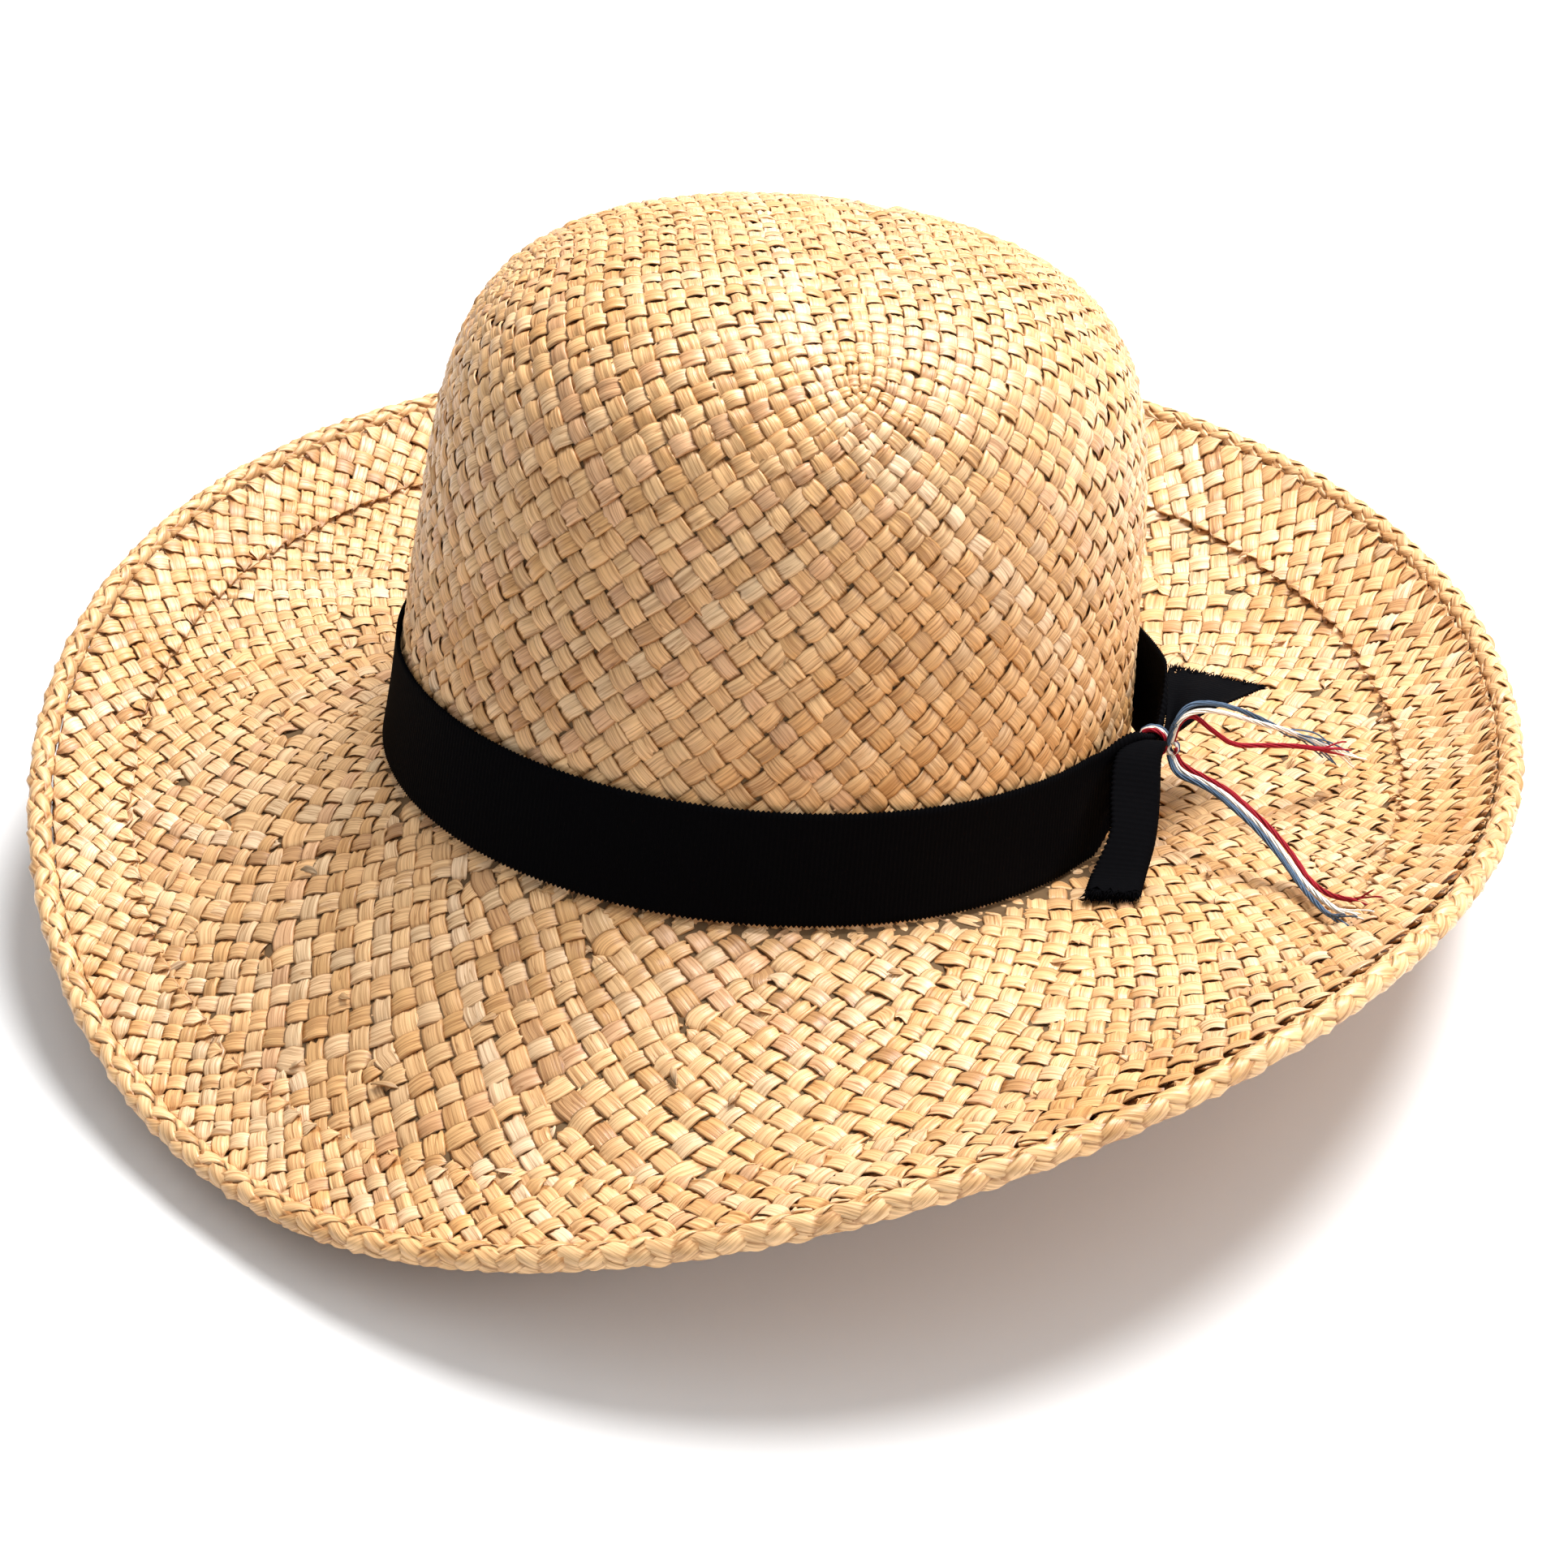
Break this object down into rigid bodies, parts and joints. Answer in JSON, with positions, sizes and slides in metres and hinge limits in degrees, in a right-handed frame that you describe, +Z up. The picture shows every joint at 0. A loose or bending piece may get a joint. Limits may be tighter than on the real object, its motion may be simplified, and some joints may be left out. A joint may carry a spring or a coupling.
{
  "type": "straw sun hat",
  "caption": "Hand-woven straw sun hat: oval crown, wide shaped brim with plaited rim, dark ribbon band gathered by a thread tie with loose ends.",
  "frame": {"origin": "centre of the oval where the crown meets the upper face of the brim, which is the head opening's centre", "axes": "+Z up through the crown, -Y the side where the brim dips, +X the tied side of the band"},
  "size_m": [0.3618, 0.3856, 0.1852],
  "materials": {
    "straw": "dry woven straw with a slight satin sheen",
    "straw_braid": "plaited straw edge",
    "ribbon": "blue-black ribbed grosgrain",
    "lining": "ribbed cotton sweatband",
    "stitch": "cotton sewing thread",
    "thread_red": "dark red cotton floss",
    "thread_white": "off-white cotton floss",
    "thread_blue": "grey-blue cotton floss"
  },
  "bodies": {
    "hat": {"straw_body": "straw", "brim_hem": "straw", "rim_braid": "straw_braid", "sweatband": "lining", "sweatband_stitches": "stitch"},
    "band": {"hat_band": "ribbon", "wrap_red": "thread_red", "wrap_white": "thread_white", "wrap_blue": "thread_blue"},
    "tail_front": {"ribbon_tail_front": "ribbon"},
    "tail_back": {"ribbon_tail_back": "ribbon"},
    "threads_upper": {"upper_thread_red": "thread_red", "upper_thread_white": "thread_white", "upper_thread_blue": "thread_blue"},
    "threads_lower": {"lower_thread_red": "thread_red", "lower_thread_white": "thread_white", "lower_thread_blue": "thread_blue"}
  },
  "joints": [
    {"name": "band_lift", "type": "slide", "parent": "hat", "child": "band", "axis": [0, 0, 1], "range_m": [0, 0.135]},
    {"name": "tail_front_swing", "type": "hinge", "parent": "band", "child": "tail_front", "pos_m": [0.0934, -0.037, 0.0246], "axis": [-0.9798, 0.2, 0], "range_deg": [0, 60]},
    {"name": "tail_back_swing", "type": "hinge", "parent": "band", "child": "tail_back", "pos_m": [0.0968, -0.0266, 0.0266], "axis": [0.97, -0.243, 0], "range_deg": [0, 60]},
    {"name": "threads_upper_swing", "type": "hinge", "parent": "band", "child": "threads_upper", "pos_m": [0.0985, -0.0317, 0.0265], "axis": [0.454, -0.891, 0], "range_deg": [0, 60]},
    {"name": "threads_lower_swing", "type": "hinge", "parent": "band", "child": "threads_lower", "pos_m": [0.0975, -0.036, 0.0228], "axis": [-0.8218, -0.5698, 0], "range_deg": [0, 60]}
  ]
}
